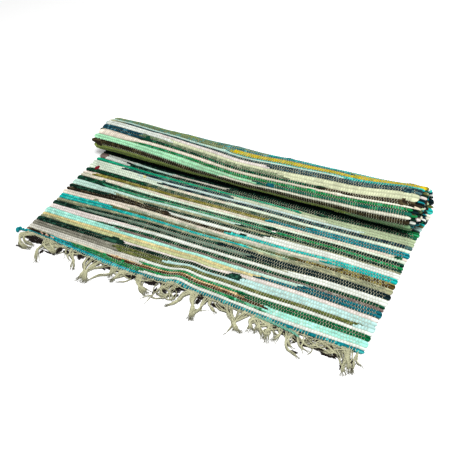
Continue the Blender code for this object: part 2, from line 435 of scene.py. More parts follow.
def gridEdges():
    # distance along the cloth of each row's edges, on the grid of places across it
    x, count = edgeGrid, weave["rows"]
    k = np.arange(count)[:, None]
    weights = np.stack([fullness(row, x) for row in rowTable])
    weights = weights * (1 + 0.07 * np.sin(x / 0.031 + 1.7 * k) + 0.06 * np.sin(x / 0.013 + 2.9 * k))
    known = {count: np.full_like(x, form["length"])}
    for number, places in rowPlaces.items():
        y = np.interp(x * 1000, rowsAcross, places) / 1000
        known[number] = y - wovenEnd(x) * np.clip(1 - y / form["flat"], 0, 1) ** 2
    for number, places in rollPlaces.items():
        known[number] = form["flat"] + rollInner * np.interp(x * 1000, rollAcross, places) / 1000
    known[0] = known[1] - form["lastRow"] * weights[0]
    edges = np.zeros((count + 1, len(x)))
    numbers = sorted(known)
    for low, high in zip(numbers, numbers[1:]):
        part = np.cumsum(weights[low:high], axis=0)
        edges[low] = known[low]
        edges[low + 1:high + 1] = known[low] + part / part[-1] * (known[high] - known[low])
    reach = np.arange(-3 * weave["ease"], 3 * weave["ease"] + 1e-6, gridStep)
    soft = np.exp(-0.5 * (reach / weave["ease"]) ** 2)
    soft /= soft.sum()
    edges = np.stack([np.convolve(np.pad(row, len(reach) // 2, "edge"), soft, "valid") for row in edges])
    k = np.arange(count + 1)[:, None]
    wave = np.sin(x / 0.047 + 0.19 * k) + 0.7 * np.sin(x / 0.083 - 0.11 * k + 1)
    edges += weave["wander"] * wave * np.clip(np.minimum(k, count - 3 - k) / 6, 0, 1)
    for number, row in enumerate(rowTable[1:-1], 1):  # joined rags lie double, and push the rows beside them
        for join in joinsOf(row):
            push = weave["bulge"] * hump(x, join, weave["bulgeHalf"])
            edges[number] -= push * (number > 1)
            edges[number + 1] += push
    return np.maximum.accumulate(edges, axis=0)


edgeLines = gridEdges()


def rowEdges(x):
    # rows + 1 by places
    return np.stack([np.interp(x, edgeGrid, line) for line in edgeLines])


def ragAt(number, x, share=0.5):
    # names of the rag in a row at places x, where a rag's end is cut slanting over the row's depth
    names = np.empty(x.shape, object)
    low = np.full(x.shape, -9.0)
    for rag, end, _ in rowTable[number]:
        chance = randomOf(number, end)
        slant = weave["slant"][0] + weave["slant"][1] * randomOf(number, end, 2)
        slant *= 1 if chance > 0.5 else -1
        slant *= np.minimum(1, np.abs(end / 1000 - low) / weave["slantFade"])
        far = end / 1000 + 0.003 * (chance - 0.5) + slant * (share - 0.5)
        names[(x > low) & (x <= far)] = rag
        low = far + np.zeros(x.shape)
    names[x > low] = rag
    return names


def pairedLoops(side):
    # for each row at a selvedge: its place in the loop of the rag, the loop's rows and its number
    names = [ragAt(number, np.array([side * 0.299]))[0] for number in range(weave["rows"])]
    loops = []
    while len(loops) < weave["rows"]:
        number = len(loops)
        size = 2 if names[number:number + 1] == names[number + 1:number + 2] else 1
        loops += [(part, size, number) for part in range(size)]
    return np.array(loops)


loopsAt = {-1: pairedLoops(-1), 1: pairedLoops(1)}


def insideKnot(x, rows, knot):
    # 0 or less outside the knot, up to 1 in its middle
    return 1 - ((x - knot[0] / 1000) / (knot[2] / 1000)) ** 2 - ((rows - knot[1]) / knot[3]) ** 2


def lumpiness(number, x):
    total = sum((hump(x, join, weave["lumpHalf"]) for join in joinsOf(rowTable[number])), np.zeros_like(x))
    for i in range(3):
        amount = 0.45 * randomOf(number, i, 8)
        total += amount * hump(x, -0.3 + 0.6 * randomOf(number, i, 5), weave["bulgeHalf"])
    return total


def ragColours(number, x, share, dash, patch, shown):
    # the row's colours at places x, before the shading
    names = ragAt(number, x, share + np.zeros_like(x))
    for knot in shown:
        names[insideKnot(x, number + share, knot) > 0] = knot[4]
    chance = 0.5 * randomOf(patch, number, 3) + 0.5 * randomOf(np.round(dash / 2), number, 5)
    shade = 1 + shading["fold"] * (randomOf(patch, number, 7) - 0.5)
    shade *= 1 + shading["wave"] * np.sin(x / 0.019 + number) + shading["row"] * (randomOf(number, 11) - 0.5)
    made = np.zeros(names.shape + (3,))
    for name in set(names.ravel()):
        main, *other = rags[name or "khaki"]
        made[names == name] = linearColour(main)
        if other:
            made[(names == name) & (chance < 0.2 + 0.6 * other[1])] = linearColour(other[0])
    return made * shade[..., None]


def clothSide(rowFrom, rowTo, perRow, step, reverse):
    # One face of the cloth over some rows, as points, faces, weave places and colours with painted groove
    # shade.
    # The dashes are formed only where the step between columns of points is fine
    half, halfThick = form["width"] / 2, form["thick"] / 2
    inner, fine = half - edge["inset"], step == weave["fineStep"]
    if fine:
        columns = np.arange(-inner, inner + 1e-6, step)
    else:
        rim = np.arange(0, edge["rim"], edge["rimStep"])
        middle = np.linspace(-inner + edge["rim"], inner - edge["rim"], max(3, int(2 * inner / step)))
        columns = np.concatenate([-inner + rim, middle, inner - rim[::-1]])
    bend = np.radians([0, 32, 58, 78, 90])
    body = slice(len(bend), len(bend) + len(columns))
    rowOf = np.append(np.repeat(np.arange(rowFrom, rowTo), perRow), rowTo - 1)
    v = np.append(np.tile(np.arange(perRow) / perRow, rowTo - rowFrom), 1.0)

    x = np.zeros((len(rowOf), len(columns) + 2 * len(bend)))
    x[:, body] = columns
    closing, loopFull = np.ones_like(x), np.ones_like(x)
    for side, ends in ((-1, slice(len(bend) - 1, None, -1)), (1, slice(body.stop, None))):
        part, size, name = loopsAt[side][rowOf].T
        arch = np.sqrt(np.clip(1 - (2 * (part + v) / size - 1) ** 2, 0, 1))
        wound = name >= weave["rollRows"]
        reach = np.where(size == 2, edge["double"], edge["single"]) * (0.5 + randomOf(name, side + 3))
        fade = smoothStep((name - edge["leftFrom"]) / 5)
        wider = edge["flatRight"] if side > 0 else edge["flatLeft"] * fade
        inside = edge["rollRight"] if side > 0 else edge["rollLeft"]
        reach = np.where(wound, reach + inside, edge["flatShare"] * reach + wider)
        outer = (half - edge["start"] + reach * arch)[:, None]
        x[:, ends] = side * (outer - edge["round"] * (1 - np.sin(bend)))
        closing[:, ends] = np.cos(bend)
        loopFull[:, ends] = np.where(wound, 0.1 + 0.8 * arch, 0.5 + 0.5 * arch)[:, None]
        near = np.clip((side * columns - (inner - edge["near"])) / edge["near"], 0, 1)
        slack = np.where(wound, 0.8 - 0.7 * arch, 0.5 - 0.5 * arch)
        loopFull[:, body] *= 1 - near * slack[:, None]

    flatX = np.clip(x, -half, half)
    places, column = np.unique(np.round(flatX, 6), return_inverse=True)
    column, edges = column.reshape(x.shape), rowEdges(places)
    low, high = edges[rowOf[:, None], column], edges[rowOf[:, None] + 1, column]
    s = low + v[:, None] * (high - low)

    def dashAt(across, rows):
        # places across counted in dashes, up to the last one before the selvedge
        shift = (0.5 * (rows % 2) + 0.5 * reverse)[:, None]
        limit = (half - weave["dashEnd"]) / weave["dashPitch"]
        return np.clip(across / weave["dashPitch"] + shift, np.ceil(shift - limit), np.floor(shift + limit))

    dash = dashAt(x, rowOf)
    crest = np.sin(np.pi * v)[:, None] ** 0.6 * np.clip((high - low) / (0.6 * weave["rowPitch"]), 0, 1)
    up = (0.5 + 0.5 * np.cos(math.tau * dash)) ** 0.6
    lumps = np.stack([lumpiness(k, across) for k, across in zip(rowOf, x)])
    height = halfThick + weave["proud"] - weave["groove"] * (1 - crest)
    height = height + (fine * weave["dashHeight"] * (up - 0.55) + weave["lump"] * lumps) * crest
    shown = [knot for knot in knots if (knot[1] > weave["flatRows"]) == reverse]
    for knot in shown:
        within = np.clip(insideKnot(x, (rowOf + v)[:, None], knot), 0, 1)
        height = np.maximum(height, (halfThick + knot[5] / 1000) * within ** 0.35)
    height = (height + (swell(flatX, s) if reverse else 0.0)) * closing * loopFull
    if rowFrom == 0:  # the two faces meet at the cloth's ends
        height[:2] *= [[0.0], [0.8]]
        s[0] -= 0.0008
    if rowTo == weave["rows"]:
        height[-1] = 0.0
    _, normal = clothAxes(flatX, s, -1.0 if reverse else 1.0)
    points = clothPlace(flatX, s) + normal * height[..., None]
    points[..., 0] += x - flatX
    points[..., 2] = np.maximum(points[..., 2], weave["floor"])

    faceRow = rowOf[:-1]
    vNext = np.where(rowOf[1:] == faceRow, v[1:], 1.0)
    dashes = dash[:-1], dashAt(x[1:], faceRow)  # at the near and far side of each face
    stations = (faceRow + v[:-1])[:, None], (faceRow + vNext)[:, None]
    middle = (x[:-1, :-1] + x[1:, 1:]) / 2
    dashNumber = np.round((dashes[0][:, :-1] + dashes[1][:, 1:]) / 2)
    colours = np.zeros(middle.shape + (3,))
    for number in range(rowFrom, rowTo):
        pick = faceRow == number
        share = ((v[:-1] + vNext) / 2)[pick][:, None]
        patch = dashNumber[pick] + np.round(share * perRow) * 37  # a fold of the rag at one dash
        colours[pick] = ragColours(number, middle[pick], share, dashNumber[pick], patch, shown)

    def cornerShade(u, place, across):
        # painted shade in the grooves between rows and between dashes, stronger on dark rags than on pale
        # ones and lifted over the knots
        rowShade = np.sin(np.pi * np.clip(place - faceRow[:, None], 0, 1)) ** 0.6
        dashShade = (0.5 + 0.5 * np.cos(math.tau * u)) ** 0.5
        pale = np.clip(shading["paleGain"] * colours.mean(-1) - shading["paleFrom"], 0, 1)
        shaded = 1 - (shading["groove"] - shading["paleGroove"] * pale) * (1 - rowShade)
        shaded = shaded * (1 - (shading["dash"] - shading["paleDash"] * pale) * (1 - dashShade) * fine)
        for knot in shown:
            shaded = shaded + (shading["knot"] - shaded) * np.clip(3 * insideKnot(across, place, knot), 0, 1)
        return shaded

    grid = np.arange(x.size).reshape(x.shape)
    faces, uvs, shadedColours = [], [], []
    for corner in ((0, 0), (0, 1), (1, 1), (1, 0)):
        far, right = corner[::-1] if reverse else corner
        at = slice(far, far + len(faceRow)), slice(right, right + middle.shape[1])
        u = dashes[far][:, at[1]]
        faces.append(grid[at].ravel())
        uvs.append(np.stack([u, stations[far] + np.zeros_like(u)], -1))
        # the rags' colours times the painted groove shade
        shadedColours.append(colours * cornerShade(u, stations[far], x[at])[..., None])
    return (points.reshape(-1, 3), np.stack(faces, -1), np.stack(uvs, 2).reshape(-1, 2),
            np.stack(shadedColours, 2).reshape(-1, 3))


def newObject(name, data):
    made = bpy.data.objects.new(name, data)
    bpy.context.scene.collection.objects.link(made)
    return made


def newPiece(name, mesh):
    print(name, "triangles", sum(len(face.vertices) - 2 for face in mesh.polygons))
    return newObject(name, mesh)


def setValues(data, key, values, kind=np.float32):
    data.foreach_set(key, np.asarray(values, kind).ravel())


def newPoints(name, points):
    mesh = bpy.data.meshes.new(name)
    mesh.vertices.add(len(points))
    setValues(mesh.vertices, "co", points)
    return mesh


def meshFrom(name, sides, material):
    # one object from several faces of cloth
    starts = np.cumsum([0] + [len(side[0]) for side in sides])
    points = np.concatenate([side[0] for side in sides]) + np.array(form["shift"])
    faces = np.concatenate([side[1] + start for side, start in zip(sides, starts)])
    shadedColour = np.concatenate([side[3] for side in sides])
    mesh = newPoints(name, points)
    mesh.loops.add(faces.size)
    setValues(mesh.loops, "vertex_index", faces, np.int32)
    mesh.polygons.add(len(faces))
    setValues(mesh.polygons, "loop_start", np.arange(0, faces.size, 4), np.int32)
    mesh.update(calc_edges=True)
    setValues(mesh.uv_layers.new(name="weave").data, "uv", np.concatenate([side[2] for side in sides]))
    # the rags' colours with the painted groove shade in them
    colour = mesh.color_attributes.new("ragColourAndShade", "FLOAT_COLOR", "CORNER")
    setValues(colour.data, "color", np.c_[shadedColour, np.ones(len(shadedColour))])
    mesh.shade_smooth()
    mesh.materials.append(material)
    mesh.validate()
    return newPiece(name, mesh)


# ---- materials

def giveInputs(tree, sockets, inputs):
    # links each input from a socket or a node, or else sets it
    for key, value in dict(inputs).items():
        value = value.outputs[0] if isinstance(value, bpy.types.Node) else value
        if isinstance(value, bpy.types.NodeSocket):
            tree.links.new(value, sockets[key])
        else:
            sockets[key].default_value = value


def adder(tree):
    # what adds a node to the tree, with its inputs and settings
    def add(kind, inputs=(), **settings):
        node = tree.nodes.new(kind)
        for key, value in settings.items():
            setattr(node, key, value)
        giveInputs(tree, node.inputs, inputs)
        return node
    return add


def calc(add, operation, *values):
    return add("ShaderNodeMath", enumerate(values), operation=operation)


def scaled(add, colour, factor):
    return add("ShaderNodeVectorMath", {0: colour, "Scale": factor}, operation="SCALE")


def newTree(kind, name, inputs, outputs, build):
    # a node group with its sockets, whose results come from the function build
    tree = bpy.data.node_groups.new(name, kind)
    for way, sockets in (("INPUT", inputs), ("OUTPUT", outputs)):
        for key, socketKind in sockets.items():
            tree.interface.new_socket(key, in_out=way, socket_type="NodeSocket" + socketKind)
    results = build(adder(tree), tree.nodes.new("NodeGroupInput").outputs)
    giveInputs(tree, tree.nodes.new("NodeGroupOutput").inputs, results)
    return tree


def fibreNodes(add, given):
    # worn cotton: streaks along the rag or yarn, as a colour and a height
    noise = add("ShaderNodeTexNoise", {"Scale": 1.0, "Detail": 3.0, "Vector": given["Place"]})
    height = noise.outputs["Fac"]
    factor = calc(add, "MULTIPLY_ADD", calc(add, "SUBTRACT", height, 0.5), given["Streaks"], 1.0)
    return {"Colour": scaled(add, given["Colour"], factor), "Height": height}


cottonFibre = newTree("ShaderNodeTree", "cottonFibre", {
    "Colour": "Color", "Place": "Vector", "Streaks": "Float"}, {
        "Colour": "Color", "Height": "Float"}, fibreNodes)
ragLook = {"rough": 0.92, "shine": 0.06, "grain": (1.1, 7.0, 1.0), "bump": 0.5, "depth": 0.0006}
yarnLook = {"rough": 0.9, "shine": 0.15, "grain": (420, 420, 420), "bump": 0.4, "depth": 0.0003}


def newMaterial(name, rough, shine):
    material = bpy.data.materials.new(name)
    material.use_nodes = True
    surface = material.node_tree.nodes["Principled BSDF"].inputs
    giveInputs(material.node_tree, surface, {"Roughness": rough, "Specular IOR Level": shine})
    return material, material.node_tree, surface


def cottonMaterial(name, look, streaks, hexColour=None, shadeBelow=None, shadedTo=0.12):
    # without a colour of its own it has the rags' ones, with their painted groove shade. Under the height
    # shadeBelow it is darker towards the floor: painted shade on the lower yarns
    material, tree, surface = newMaterial(name, look["rough"], look["shine"])
    add = adder(tree)
    if hexColour:
        place = add("ShaderNodeTexCoord").outputs["Object"]
        colour = (*linearColour(hexColour), 1)
    else:
        place = add("ShaderNodeUVMap", uv_map="weave")
        colour = add("ShaderNodeVertexColor", layer_name="ragColourAndShade")
    grain = add("ShaderNodeVectorMath", {0: place, 1: look["grain"]}, operation="MULTIPLY")
    fibre = add("ShaderNodeGroup", {"Colour": colour, "Place": grain, "Streaks": streaks},
                node_tree=cottonFibre).outputs
    base = fibre["Colour"]
    if shadeBelow:
        height = add("ShaderNodeSeparateXYZ", {0: place}).outputs["Z"]
        base = scaled(add, base, add("ShaderNodeMapRange", {
            "Value": height, "From Min": 0.0, "From Max": shadeBelow, "To Min": shadedTo}))
    bump = add("ShaderNodeBump", {
        "Strength": look["bump"], "Distance": look["depth"], "Height": fibre["Height"]})
    giveInputs(tree, surface, {"Base Color": base, "Normal": bump})
    return material


ragCloth = cottonMaterial("ragCloth", ragLook, 0.55)
warpCotton = cottonMaterial("warpCotton", yarnLook, 0.35, "#c4c4aa")
looseRag = cottonMaterial("looseRag", yarnLook, 0.5, "#0b7a80")
# the fringe yarns get darker below 4.4 mm: painted shade on the lower yarns
fringeCotton = cottonMaterial("fringeCotton", yarnLook, 0.9, "#adac8d", 0.0044)
# near-black fibre for the tufts that paint the fringe's shadow
paintedShadowFibre = cottonMaterial("paintedShadowFibre", yarnLook, 0.8, "#1c1613")
fadedRag = cottonMaterial("fadedRag", yarnLook, 0.6, "#5d9480")

# ---- the cloth, finer where it shows

face = meshFrom("rug_face", [
    clothSide(0, weave["faceRows"], 3, weave["fineStep"], False),
    clothSide(weave["faceRows"], weave["rows"], 3, weave["coarseStep"], False),
], ragCloth)
reverseFace = meshFrom("rug_reverse", [
    clothSide(0, weave["flatRows"], 2, weave["underStep"], True),
    clothSide(weave["flatRows"], weave["reverseRows"], 3, weave["fineStep"], True),
    clothSide(weave["reverseRows"], weave["rows"], 3, weave["coarseStep"], True),
], ragCloth)


# ---- warp threads that cross over the rags, with Geometry Nodes

def bakeTree(carrier, tree, values, name):
    # runs the tree on the carrier and keeps the result as a plain mesh
    modifier = carrier.modifiers.new("nodes", "NODES")
    modifier.node_group = tree
    for item in tree.interface.items_tree:
        if item.in_out == "INPUT" and item.name in values:
            modifier[item.identifier] = values[item.name]
    bpy.context.view_layer.update()
    graph = bpy.context.evaluated_depsgraph_get()
    mesh = bpy.data.meshes.new_from_object(carrier.evaluated_get(graph), depsgraph=graph)
    bpy.data.objects.remove(carrier)
    mesh.name = name
    return newPiece(name, mesh)


def pointValue(add, name, kind="FLOAT"):
    return add("GeometryNodeInputNamedAttribute", {"Name": name}, data_type=kind).outputs["Attribute"]


def shapeTree(name, sockets, build):
    # a tree that turns its geometry into one smooth mesh with a material
    def finish(add, given):
        real = add("GeometryNodeRealizeInstances", {0: build(add, given)})
        smooth = add("GeometryNodeSetShadeSmooth", {0: real})
        return {"Geometry": add("GeometryNodeSetMaterial", {0: smooth, "Material": given["Material"]})}
    sockets = {"Geometry": "Geometry", **sockets, "Material": "Material"}
    return newTree("GeometryNodeTree", name, sockets, {"Geometry": "Geometry"}, finish)


warp = {
    "thick": 0.00070, "arch": 0.0006,
    "sunk": 0.0010,  # depth in the rags
    "leftSunk": 0.00042,  # how much deeper at the left selvedge
    "edge": 0.0045,
    "stray": 0.0002,
    "leastRow": 0.0022,  # thinner rows have no threads over them
    "cover": 1.12,  # a thread's length for each row's depth
}


def crossingNodes(add, given):
    # a short arched thread on each point, along the point's own heading
    arc = add("GeometryNodeCurveQuadraticBezier", {
        "Resolution": 3, "Start": (0, -0.5, 0), "Middle": (0, 0, 0), "End": (0, 0.5, 0)})
    along = add("GeometryNodeSplineParameter").outputs["Factor"]
    rise = calc(add, "MULTIPLY", calc(add, "SINE", calc(add, "MULTIPLY", along, math.pi)), given["Arch"])
    offset = add("ShaderNodeCombineXYZ", {"Z": rise})
    lift = add("GeometryNodeSetPosition", {"Geometry": arc, "Offset": offset})
    profile = add("GeometryNodeCurvePrimitiveCircle", {
        "Resolution": 4, "Radius": calc(add, "MULTIPLY", given["Thickness"], 0.5)})
    tube = add("GeometryNodeCurveToMesh", {"Curve": lift, "Profile Curve": profile})
    turnUp = add("FunctionNodeAlignRotationToVector", {
        "Vector": pointValue(add, "upward", "FLOAT_VECTOR")}, axis="Z")
    turnAlong = add("FunctionNodeAlignRotationToVector", {
        "Rotation": turnUp, "Vector": pointValue(add, "heading", "FLOAT_VECTOR")}, axis="Y", pivot_axis="Z")
    size = add("ShaderNodeCombineXYZ", {"X": 1, "Y": pointValue(add, "reach"), "Z": 1})
    return add("GeometryNodeInstanceOnPoints", {
        "Points": given["Geometry"], "Instance": tube, "Rotation": turnAlong, "Scale": size})


def crossingPoints(rowFrom, rowTo, reverse):
    # a point wherever a warp end crosses over a rag on the side that shows
    pitch, half = weave["dashPitch"], form["width"] / 2 - warp["edge"]
    found = []
    ends = np.arange(-int(half / pitch) - 1, int(half / pitch) + 2)
    for number in range(rowFrom, rowTo):
        x = (ends + 0.5 - 0.5 * (number % 2) - 0.5 * reverse) * pitch
        x = x[np.abs(x) < half]
        x = x + warp["stray"] * (randomOf(np.round(x * 1e4), 3) - 0.5)
        edges = rowEdges(x)
        low, high = edges[number], edges[number + 1]
        keep = high - low > warp["leastRow"]
        for knot in knots:
            keep &= insideKnot(x, number + 0.5, knot) < 0.15
        found.append(np.stack([x, (low + high) / 2, (high - low) * warp["cover"]])[:, keep])
    x, s, reach = np.concatenate(found, axis=1)
    along, normal = clothAxes(x, s, -1.0 if reverse else 1.0)
    sunk = form["thick"] / 2 - warp["sunk"] + (swell(x, s) if reverse else 0.0)
    sunk = sunk - warp["leftSunk"] * np.clip(-x / 0.3, 0, 1)
    points = clothPlace(x, s) + normal * sunk[:, None] + np.array(form["shift"])
    mesh = newPoints("crossings", points)
    for key, values in (("heading", along), ("upward", normal)):
        setValues(mesh.attributes.new(key, "FLOAT_VECTOR", "POINT").data, "vector", values)
    setValues(mesh.attributes.new("reach", "FLOAT", "POINT").data, "value", reach)
    return newObject("crossings", mesh)


crossings = shapeTree("warpCrossings", {"Thickness": "Float", "Arch": "Float"}, crossingNodes)
warpSizes = {"Thickness": warp["thick"], "Arch": warp["arch"], "Material": warpCotton}
warpFace, warpRoll = (bakeTree(crossingPoints(*where), crossings, warpSizes, name) for name, where in (
    ("warp_face", (0, weave["warpTurn"], False)),
    ("warp_roll", (weave["warpTurn"], weave["reverseRows"], True))))


# ---- fringe

fringe = {
    "seed": 11,
    "yarn": 0.0017,
    "twistPitch": 0.008,
    "pile": 0.0042,  # how high the yarns lie on one another
    "wave": 0.0011,
    "count": 1.7,  # yarns for each one in the list of bundles
    "rootShare": 0.85, "spread": 0.95,  # the bundles' real widths
    "step": 0.0019,
    "stray": 0.0009,
    "frayed": 3,  # fine ends from each yarn's tip
    "fineThick": 0.00022, "fineLength": (0.003, 0.008), "fineCurl": 0.0015, "fineLow": 0.0004,
    "fineStep": 0.0016,
    "inShadowTuft": 0.35,  # share of the yarns that lie over a mat of painted shadow
    "shadowTuft": 1.4,  # dark tufts for each mm of half width and half depth, which paint the shadow
    "shadowTuftHigh": 4.2, "shadowTuftLow": 2.6,  # top of the dark tufts near the cloth, and further out, in mm
    "shadowTuftThick": 0.0008, "shadowTuftStep": 0.0018,
    "back": 0.0032,  # the courses are read at the cloth's height, so on the floor they lie further back
}
# Bundles of yarns: how many, where they leave the edge, their width there and at the tip,
# and their course, all in mm from the woven end's middle
bundles = """
11 -284 20 9: -288 -12, -283 -22, -276 -30, -266 -33, -256 -32
4 -276 12 4: -281 -11, -276 -20, -267 -23, -254 -24
5 -242 10 3: -257 -3, -273 -4, -287 -8
13 -236 14 11: -236 -11, -239 -21, -238 -29, -231 -38, -222 -49
6 -243 10 7: -238 -11, -227 -20, -213 -25, -202 -21
5 -230 9 6: -223 -10, -213 -18, -205 -24
5 -206 9 6: -214 -10, -224 -18, -234 -24
6 -197 10 6: -191 -12, -185 -22
5 -181 9 6: -190 -11, -199 -18, -204 -22
9 -186 12 7: -178 -13, -167 -23, -161 -32, -157 -39
5 -167 9 5: -175 -13, -182 -20, -172 -28
14 -147 16 14: -142 -20, -136 -33, -130 -43, -129 -54
7 -130 12 7: -130 -22, -131 -35, -126 -46, -119 -51
6 -110 12 5: -118 -20, -128 -29, -134 -42, -137 -50
3 -94 6 6: -93 -24, -106 -32, -113 -42, -118 -51
5 -99 8 5: -95 -18, -91 -27
14 -76 20 7: -77 -14, -80 -24, -83 -33
5 -84 10 7: -76 -15, -66 -20, -58 -19
5 -60 10 6: -68 -16, -76 -23, -82 -29
2 -64 4 4: -58 -18, -62 -28, -74 -34
10 -50 12 9: -42 -17, -36 -26, -29 -32, -21 -35
6 -27 12 6: -38 -14, -47 -18, -55 -17
2 -38 4 6: -32 -24, -18 -29
3 -14 5 4: -12 -20, -9 -30, -10 -40, -12 -52
2 -8 4 4: -8 -30, -14 -40, -21 -47
6 4 12 8: 4 -10, -2 -18, 2 -27, 10 -28
5 12 8 8: 4 -9, -4 -16, -7 -25, 2 -31
6 20 8 8: 13 -9, 14 -18, 20 -27, 27 -31
4 7 8 6: 14 -10, 22 -18, 26 -27, 20 -34
2 16 5 5: 14 -14, 12 -28, 0 -36, -14 -38
8 39 12 4: 34 -12, 33 -24, 29 -35, 22 -41
12 47 14 9: 51 -15, 57 -26, 62 -36, 66 -47
5 67 8 5: 69 -18, 70 -28, 66 -38, 64 -45
2 58 4 4: 60 -24, 68 -31, 81 -27
4 74 8 4: 79 -14, 86 -21, 92 -24
6 84 16 7: 96 -12, 110 -16, 120 -24, 127 -32
6 105 14 6: 114 -16, 122 -25, 127 -33, 130 -38
8 133 14 4: 129 -18, 126 -28, 131 -35, 139 -39
2 122 4 4: 124 -22, 126 -38, 123 -51
9 150 16 12: 146 -15, 148 -24, 152 -30
7 156 10 8: 165 -11, 177 -16, 186 -24
6 186 10 8: 177 -10, 166 -15, 156 -20
7 145 12 10: 155 -14, 163 -24, 172 -34
6 172 12 9: 163 -14, 158 -22, 160 -30
7 163 10 9: 172 -15, 174 -25, 179 -37
6 190 12 8: 181 -14, 175 -23, 176 -34
5 182 10 8: 191 -16, 190 -26, 187 -34
7 197 12 5: 201 -19, 204 -30, 212 -38, 221 -40, 229 -44
5 213 9 8: 207 -20, 207 -30, 214 -37
9 216 12 8: 221 -20, 226 -28, 233 -33
7 204 10 9: 214 -15, 230 -21, 247 -20
6 240 12 9: 231 -14, 219 -20, 208 -26
7 226 10 9: 238 -14, 251 -21, 264 -24, 274 -19
9 263 14 10: 252 -10, 239 -21, 225 -22
6 247 9 9: 257 -12, 267 -19, 279 -20
9 279 14 10: 269 -11, 259 -22, 248 -22
2 236 4 3: 238 -20, 239 -28, 236 -37
11 268 20 12: 279 -17, 282 -27, 285 -35, 289 -44
12 282 20 14: 286 -17, 290 -27, 293 -36
8 292 12 9: 292 -16, 295 -26, 298 -35
1 296 2 2: 297 -16, 300 -21, 307 -23
"""
# Yarns that curl round: middle x and y, radius and number, in mm
loops = """
4 -20 9 5, 17 -24 7 4, -222 -15 6 3, -196 -14 5 2, -66 -14 5 3, -214 -13 7 4, -180 -12 6 4, -84 -15 5 3,
160 -14 7 4, 186 -13 6 4, 201 -13 6 4, 246 -12 6 4, 274 -13 6 4, 174 -22 6 3, 214 -16 6 3, 236 -15 6 3,
262 -16 5 3, -128 -18 5 2
"""
# Painted shadow: dark fibre tufts lying low where shadow falls between and under the yarns: middle x and y,
# half width and half depth, in mm
shadowMats = readGroups("""
-258 -13 19 6, -234 -6 4 3, -222 -3 4 3, -207 -7 5 4, -203 -16 4 7, -190 -6 4 3, -188 -15 6 3,
-176 -13 5 4, -160 -13 6 6, -214 -27 10 1.6, -229 -30 2.4 3, -272 -35 8 1.2, -142 -13 8 2.5,
-128 -15 6 2.2, -105 -15 9 2.4, -89 -15 4 2.6, -112 -20 8 1.2, -67 -17 8 3, -57 -16 5 3, -26 -13 12 5,
-10 -25 2 5, -4 -9 7 3.6, 8 -3 3 1.6, 17 -10 8 6, 25 -4 6 4, 4 -20 3 2.5, 12 -23 4 3, 24 -22 3 4,
-1 -28 3 2, 58 -8 5 3.4, 60 -15 2.4 6, 70 -13 2.6 5, 92 -13 14 2.8, 110 -15 5 4, 133 -11 5 1.4,
152 -14 5 2, 163 -14 3 3, 183 -15 6 2.6, 175 -23 2.4 5, 196 -17 6 3, 212 -19 3.4 6, 208 -29 2 4,
216 -9 4 1.5, 236 -10 6 3, 229 -15 4 2, 249 -8 5 1.5, 259 -14 5 3, 273 -11 4 1.6, 244 -21 14 2.4,
262 -25 11 2.4, 272 -20 5 3, 283 -29 3 9, 291 -22 2 4, 296 -28 1.6 5, 228 -23 9 2, 218 -39 6 1.6
""")
# The course of the last rags' loose ends in mm: x, y, height and half thickness
looseRags = [readGroups(text) for text in (
    "-284 2 3 2.2, -293 1.5 3 2.2, -299 1.5 3 2.6, -303 0 4 3.6, -302 -5 3.6 3.4, -300 -7 3 2.4",
    "148 -5.5 4.6 1.3, 162 -6 5.4 1.6, 180 -7.5 5.8 1.7, 196 -9 6 2.0, 208 -10.5 5.8 2.0, 217 -13 4 1.3",
)]


def smoothPath(points, steps):
    # a soft curve through the points
    padded = [2 * points[0] - points[1], *points, 2 * points[-1] - points[-2]]
    made = []
    for i in range(1, len(padded) - 2):
        p0, p1, p2, p3 = padded[i - 1:i + 3]
        for t in (j / steps for j in range(steps)):
            made.append(0.5 * (2 * p1 + (p2 - p0) * t + (2 * p0 - 5 * p1 + 4 * p2 - p3) * t * t
                               + (3 * p1 - p0 - 3 * p2 + p3) * t ** 3))
    return made + [points[-1]]


def frontEdge(x):
    # the bottom of the cloth's front edge
    place = clothPlace(np.array([x]), np.interp([x], edgeGrid, edgeLines[0]))[0]
    return Vector((place[0], place[1], place[2] - form["thick"] / 2))


def overShadowMat(path):
    # how many of a path's points lie in a mat of painted shadow
    back = 1000 * fringe["back"]
    return sum(any((1000 * point.x - x) ** 2 / wide ** 2 + (1000 * point.y - y - back) ** 2 / deep ** 2 < 0.8
                   for x, y, wide, deep in shadowMats) for point in path)


def shadowMatPaths():
    # dark tufts lying low by the floor, which paint the shadow between and under the yarns
    rng = random.Random(fringe["seed"] + 1)
    made = []
    for middleX, middleY, wide, deep in shadowMats:
        top = fringe["shadowTuftLow"] if middleY < -18 else fringe["shadowTuftHigh"]
        for _ in range(int(fringe["shadowTuft"] * wide * deep) + 4):
            turn, far = rng.uniform(0, math.tau), math.sqrt(rng.random())
            spot = Vector((middleX + wide * far * math.cos(turn), middleY + deep * far * math.sin(turn), 0))
            heading = rng.uniform(-0.4, 0.4) + (0 if wide > deep else math.pi / 2)
            points = []
            for along in (-2.6, -0.9, 0.9, 2.6):
                point = spot + along * Vector((math.cos(heading), math.sin(heading), 0))
                point += Vector((rng.uniform(-0.4, 0.4), rng.uniform(-0.4, 0.4), rng.uniform(0.8, top)))
                points.append(point / 1000 + Vector((0, fringe["back"], 0)))
            made.append(smoothPath(points, 2))
    return made


def frayedPaths(rng, path):
    # fine ends that fan out from a yarn's tip
    made = []
    end, before = path[-1], path[-3]
    heading = (end - before).normalized()
    for _ in range(fringe["frayed"]):
        side = Vector((-heading.y, heading.x, 0)) * rng.uniform(-0.8, 0.8)
        length = rng.uniform(*fringe["fineLength"])
        curl = Vector((rng.uniform(-1, 1), rng.uniform(-1, 1), 0)) * fringe["fineCurl"]
        points = [before, end]
        for part in (0.5, 1.0):
            point = end + (heading + side * part) * length * part + curl * part
            point.z = max(0, end.z * (1 - part)) + fringe["fineLow"]
            points.append(point)
        made.append(smoothPath(points, 3))
    return made


